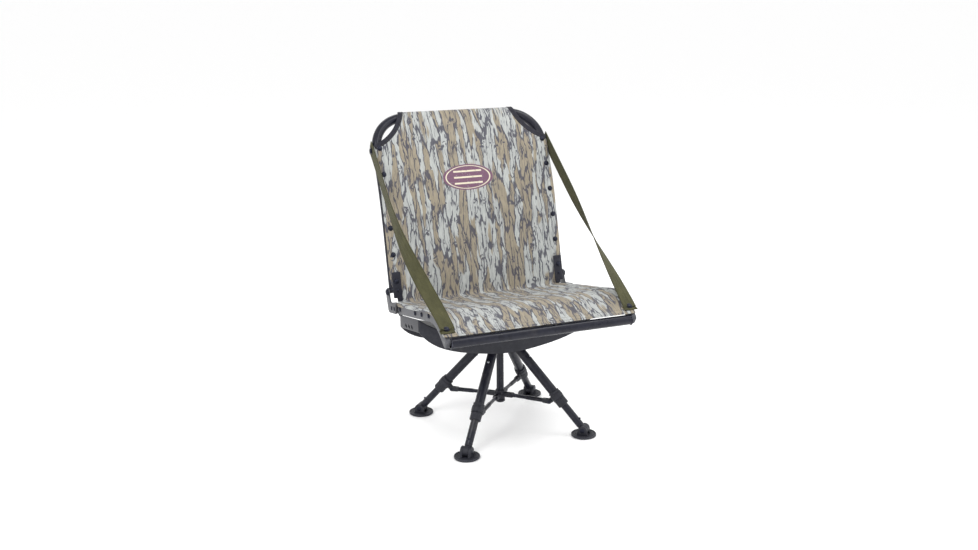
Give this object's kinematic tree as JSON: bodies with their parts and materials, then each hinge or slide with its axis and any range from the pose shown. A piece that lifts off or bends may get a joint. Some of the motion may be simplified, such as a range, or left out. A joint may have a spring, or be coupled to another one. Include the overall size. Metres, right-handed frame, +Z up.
{
  "type": "blind swivel chair",
  "caption": "Folding swivel chair with a sling seat and back, side straps, and an umbrella-folding tubular leg base with round foot pads.",
  "frame": {"origin": "on the ground, in the middle of the chair's outline; the swivel axis stands 27.3 mm in front of it", "axes": "+Z up, the chair faces -Y, +X to the sitter's left"},
  "size_m": [0.5326, 0.6367, 0.827],
  "materials": {
    "tube_coat": "charcoal powder coat, satin",
    "rail_coat": "mid grey powder coat, satin",
    "cradle_coat": "dark grey powder coat, satin",
    "plate_coat": "black powder coat, satin",
    "black_plastic": "fine moulded grain",
    "dark_steel": "black oxide",
    "bark_cloth": "woven polyester with a tree-bark print",
    "olive_webbing": "woven strap"
  },
  "bodies": {
    "base": {"leg_hub": "cradle_coat", "centre_post": "tube_coat", "post_cap": "black_plastic", "bearing_lower": "dark_steel", "leg_pin_1": "dark_steel", "leg_pin_2": "dark_steel", "leg_pin_3": "dark_steel", "leg_pin_4": "dark_steel"},
    "brace_slider": {"brace_slider": "black_plastic"},
    "leg_1": {"upper_leg_1": "tube_coat", "leg_collar_1": "black_plastic"},
    "lock_ring_1": {"lock_ring_1": "black_plastic"},
    "brace_1": {"brace_1": "tube_coat"},
    "foot_1": {"lower_leg_1": "tube_coat", "foot_stem_1": "black_plastic"},
    "snap_button_1": {"snap_button_1": "dark_steel"},
    "foot_pad_1": {"foot_pad_1": "black_plastic"},
    "leg_2": {"upper_leg_2": "tube_coat", "leg_collar_2": "black_plastic"},
    "lock_ring_2": {"lock_ring_2": "black_plastic"},
    "brace_2": {"brace_2": "tube_coat"},
    "foot_2": {"lower_leg_2": "tube_coat", "foot_stem_2": "black_plastic"},
    "snap_button_2": {"snap_button_2": "dark_steel"},
    "foot_pad_2": {"foot_pad_2": "black_plastic"},
    "leg_3": {"upper_leg_3": "tube_coat", "leg_collar_3": "black_plastic"},
    "lock_ring_3": {"lock_ring_3": "black_plastic"},
    "brace_3": {"brace_3": "tube_coat"},
    "foot_3": {"lower_leg_3": "tube_coat", "foot_stem_3": "black_plastic"},
    "snap_button_3": {"snap_button_3": "dark_steel"},
    "foot_pad_3": {"foot_pad_3": "black_plastic"},
    "leg_4": {"upper_leg_4": "tube_coat", "leg_collar_4": "black_plastic"},
    "lock_ring_4": {"lock_ring_4": "black_plastic"},
    "brace_4": {"brace_4": "tube_coat"},
    "foot_4": {"lower_leg_4": "tube_coat", "foot_stem_4": "black_plastic"},
    "snap_button_4": {"snap_button_4": "dark_steel"},
    "foot_pad_4": {"foot_pad_4": "black_plastic"},
    "seat": {"bearing_upper": "dark_steel", "cross_cradle": "cradle_coat", "front_tube": "tube_coat", "rear_tube": "tube_coat", "seat_sling": "bark_cloth", "seat_rail_left": "rail_coat", "seat_rail_right": "rail_coat", "back_pivot_bolt_left": "dark_steel", "back_pivot_bolt_right": "dark_steel", "strap_foot_bolt_left": "dark_steel", "strap_foot_bolt_right": "dark_steel"},
    "back": {"back_frame": "tube_coat", "back_sling": "bark_cloth", "hinge_plate_left": "plate_coat", "hinge_plate_right": "plate_coat", "strap_left": "olive_webbing", "strap_right": "olive_webbing", "strap_top_bolt_left": "dark_steel", "strap_top_bolt_right": "dark_steel"}
  },
  "joints": [
    {"name": "leg_1_fold", "type": "hinge", "parent": "base", "child": "leg_1", "pos_m": [0.03075, 0.01826, 0.2332], "axis": [-0.7302, 0.6833, 0], "range_deg": [0, 34]},
    {"name": "brace_1_swing", "type": "hinge", "parent": "leg_1", "child": "brace_1", "pos_m": [0.09707, 0.08913, 0.08504], "axis": [-0.7302, 0.6833, 0], "range_deg": [0, 51.08]},
    {"name": "lock_ring_1_twist", "type": "hinge", "parent": "leg_1", "child": "lock_ring_1", "pos_m": [0.12019, 0.11383, 0.08732], "axis": [0.4563, 0.4876, -0.7443], "range_deg": [0, 90]},
    {"name": "foot_1_extend", "type": "slide", "parent": "leg_1", "child": "foot_1", "axis": [0.4563, 0.4876, -0.7443], "range_m": [0, 0.1]},
    {"name": "snap_button_1_press", "type": "slide", "parent": "foot_1", "child": "snap_button_1", "axis": [-0.5086, -0.5435, -0.6678], "range_m": [0, 0.003], "stiffness_N_per_m": 300},
    {"name": "foot_pad_1_tilt", "type": "hinge", "parent": "foot_1", "child": "foot_pad_1", "pos_m": [0.16308, 0.15967, 0.01735], "axis": [-0.7302, 0.6833, 0], "range_deg": [-15, 15]},
    {"name": "leg_2_fold", "type": "hinge", "parent": "base", "child": "leg_2", "pos_m": [-0.03286, 0.01615, 0.2332], "axis": [-0.6833, -0.7302, 0], "range_deg": [0, 34]},
    {"name": "brace_2_swing", "type": "hinge", "parent": "leg_2", "child": "brace_2", "pos_m": [-0.10373, 0.08247, 0.08504], "axis": [-0.6833, -0.7302, 0], "range_deg": [0, 51.08]},
    {"name": "lock_ring_2_twist", "type": "hinge", "parent": "leg_2", "child": "lock_ring_2", "pos_m": [-0.12843, 0.10558, 0.08732], "axis": [-0.4876, 0.4563, -0.7443], "range_deg": [0, 90]},
    {"name": "foot_2_extend", "type": "slide", "parent": "leg_2", "child": "foot_2", "axis": [-0.4876, 0.4563, -0.7443], "range_m": [0, 0.1]},
    {"name": "snap_button_2_press", "type": "slide", "parent": "foot_2", "child": "snap_button_2", "axis": [0.5435, -0.5086, -0.6678], "range_m": [0, 0.003], "stiffness_N_per_m": 300},
    {"name": "foot_pad_2_tilt", "type": "hinge", "parent": "foot_2", "child": "foot_pad_2", "pos_m": [-0.17427, 0.14848, 0.01735], "axis": [-0.6833, -0.7302, 0], "range_deg": [-15, 15]},
    {"name": "leg_3_fold", "type": "hinge", "parent": "base", "child": "leg_3", "pos_m": [-0.03075, -0.04746, 0.2332], "axis": [0.7302, -0.6833, 0], "range_deg": [0, 34]},
    {"name": "brace_3_swing", "type": "hinge", "parent": "leg_3", "child": "brace_3", "pos_m": [-0.09707, -0.11833, 0.08504], "axis": [0.7302, -0.6833, 0], "range_deg": [0, 51.08]},
    {"name": "lock_ring_3_twist", "type": "hinge", "parent": "leg_3", "child": "lock_ring_3", "pos_m": [-0.12019, -0.14303, 0.08732], "axis": [-0.4563, -0.4876, -0.7443], "range_deg": [0, 90]},
    {"name": "foot_3_extend", "type": "slide", "parent": "leg_3", "child": "foot_3", "axis": [-0.4563, -0.4876, -0.7443], "range_m": [0, 0.1]},
    {"name": "snap_button_3_press", "type": "slide", "parent": "foot_3", "child": "snap_button_3", "axis": [0.5086, 0.5435, -0.6678], "range_m": [0, 0.003], "stiffness_N_per_m": 300},
    {"name": "foot_pad_3_tilt", "type": "hinge", "parent": "foot_3", "child": "foot_pad_3", "pos_m": [-0.16308, -0.18887, 0.01735], "axis": [0.7302, -0.6833, 0], "range_deg": [-15, 15]},
    {"name": "leg_4_fold", "type": "hinge", "parent": "base", "child": "leg_4", "pos_m": [0.03286, -0.04535, 0.2332], "axis": [0.6833, 0.7302, 0], "range_deg": [0, 34]},
    {"name": "brace_4_swing", "type": "hinge", "parent": "leg_4", "child": "brace_4", "pos_m": [0.10373, -0.11167, 0.08504], "axis": [0.6833, 0.7302, 0], "range_deg": [0, 51.08]},
    {"name": "lock_ring_4_twist", "type": "hinge", "parent": "leg_4", "child": "lock_ring_4", "pos_m": [0.12843, -0.13478, 0.08732], "axis": [0.4876, -0.4563, -0.7443], "range_deg": [0, 90]},
    {"name": "foot_4_extend", "type": "slide", "parent": "leg_4", "child": "foot_4", "axis": [0.4876, -0.4563, -0.7443], "range_m": [0, 0.1]},
    {"name": "snap_button_4_press", "type": "slide", "parent": "foot_4", "child": "snap_button_4", "axis": [-0.5435, 0.5086, -0.6678], "range_m": [0, 0.003], "stiffness_N_per_m": 300},
    {"name": "foot_pad_4_tilt", "type": "hinge", "parent": "foot_4", "child": "foot_pad_4", "pos_m": [0.17427, -0.17768, 0.01735], "axis": [0.6833, 0.7302, 0], "range_deg": [-15, 15]},
    {"name": "brace_slider_rise", "type": "slide", "parent": "base", "child": "brace_slider", "axis": [0, 0, 1], "range_m": [0, 0.0746]},
    {"name": "seat_swivel", "type": "hinge", "parent": "base", "child": "seat", "pos_m": [0, -0.0146, 0.27], "axis": [0, 0, 1], "continuous": true},
    {"name": "back_fold", "type": "hinge", "parent": "seat", "child": "back", "pos_m": [0, 0.1439, 0.364], "axis": [1, 0, 0], "range_deg": [0, 90], "deforming": ["strap_left", "strap_right"]}
  ],
  "couplings": [
    {"joint": "brace_1_swing", "follows": "leg_1_fold", "ratio": 1.473},
    {"joint": "brace_2_swing", "follows": "leg_1_fold", "ratio": 1.473},
    {"joint": "leg_2_fold", "follows": "leg_1_fold", "ratio": 1},
    {"joint": "brace_3_swing", "follows": "leg_1_fold", "ratio": 1.473},
    {"joint": "leg_3_fold", "follows": "leg_1_fold", "ratio": 1},
    {"joint": "brace_4_swing", "follows": "leg_1_fold", "ratio": 1.473},
    {"joint": "leg_4_fold", "follows": "leg_1_fold", "ratio": 1},
    {"joint": "brace_slider_rise", "follows": "leg_1_fold", "m_per_rad": 0.12538}
  ]
}
